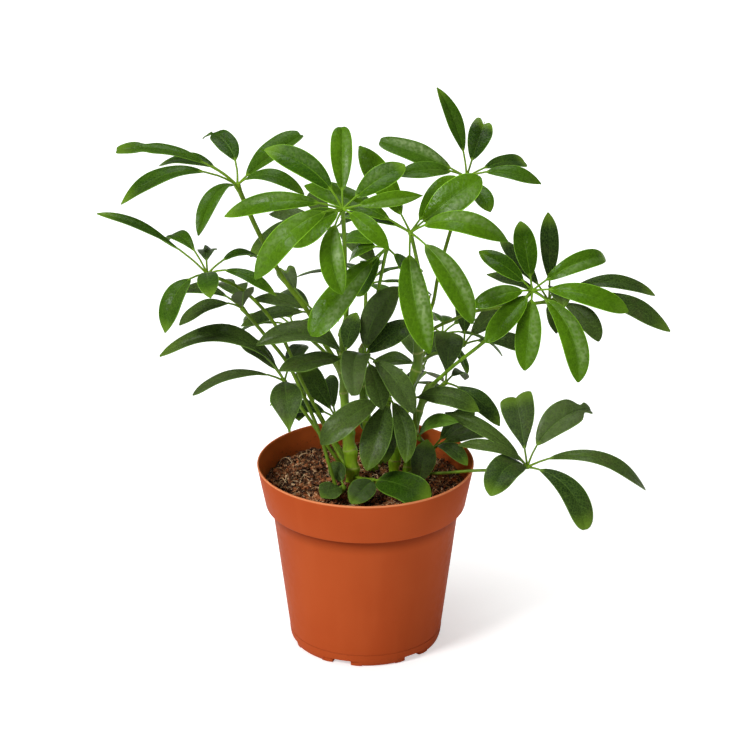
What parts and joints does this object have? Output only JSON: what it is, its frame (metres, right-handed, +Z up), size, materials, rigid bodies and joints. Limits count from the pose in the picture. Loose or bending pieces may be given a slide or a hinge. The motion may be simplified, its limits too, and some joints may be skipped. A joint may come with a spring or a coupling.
{
  "type": "potted umbrella plant",
  "caption": "Young umbrella plant with glossy palmate leaves on long stalks, several stems standing in soil in a thin plastic grower's pot with a collar band and foot notches.",
  "frame": {"origin": "centre of the pot's flat underside, on the ground", "axes": "+X to the right of the front view, +Y away from the viewer, +Z up"},
  "size_m": [0.4035, 0.2348, 0.4],
  "materials": {
    "pot_plastic": "satin",
    "soil": "rough",
    "stem": "satin",
    "leaf_young": "glossy",
    "leaf_mid": "glossy",
    "leaf_old": "satin"
  },
  "bodies": {
    "root": {"pot": "pot_plastic", "soil": "soil", "stem_main": "stem", "stem_right": "stem", "stem_side": "stem", "stem_middle": "stem", "leaf_left_high": "leaf_mid", "leaf_crown_left": "leaf_young", "leaf_crown_right": "leaf_young", "leaf_crown_middle": "leaf_young", "leaf_crown_back": "leaf_mid", "leaf_right_front": "leaf_young", "leaf_right_back": "leaf_old", "leaf_right_low": "leaf_old", "leaf_left_far": "leaf_mid", "leaf_left_middle": "leaf_old", "leaf_left_low": "leaf_old", "leaf_centre_left": "leaf_old", "leaf_centre_front": "leaf_old", "leaf_centre_low": "leaf_old", "leaf_centre_right": "leaf_old", "leaf_right_inner": "leaf_old", "leaf_side_right": "leaf_old", "leaf_low_right": "leaf_old", "leaf_right_inner_back": "leaf_old", "leaf_middle_right": "leaf_old", "leaf_crown_back_left": "leaf_old", "leaf_left_inner": "leaf_old", "leaf_low_left_back": "leaf_old", "leaf_low_front": "leaf_mid", "leaf_low_back": "leaf_old", "leaf_back_centre": "leaf_mid", "leaf_back_left": "leaf_mid", "leaf_back_right": "leaf_mid", "leaf_back_low": "leaf_old", "leaf_back_low_left": "leaf_old"}
  },
  "joints": []
}
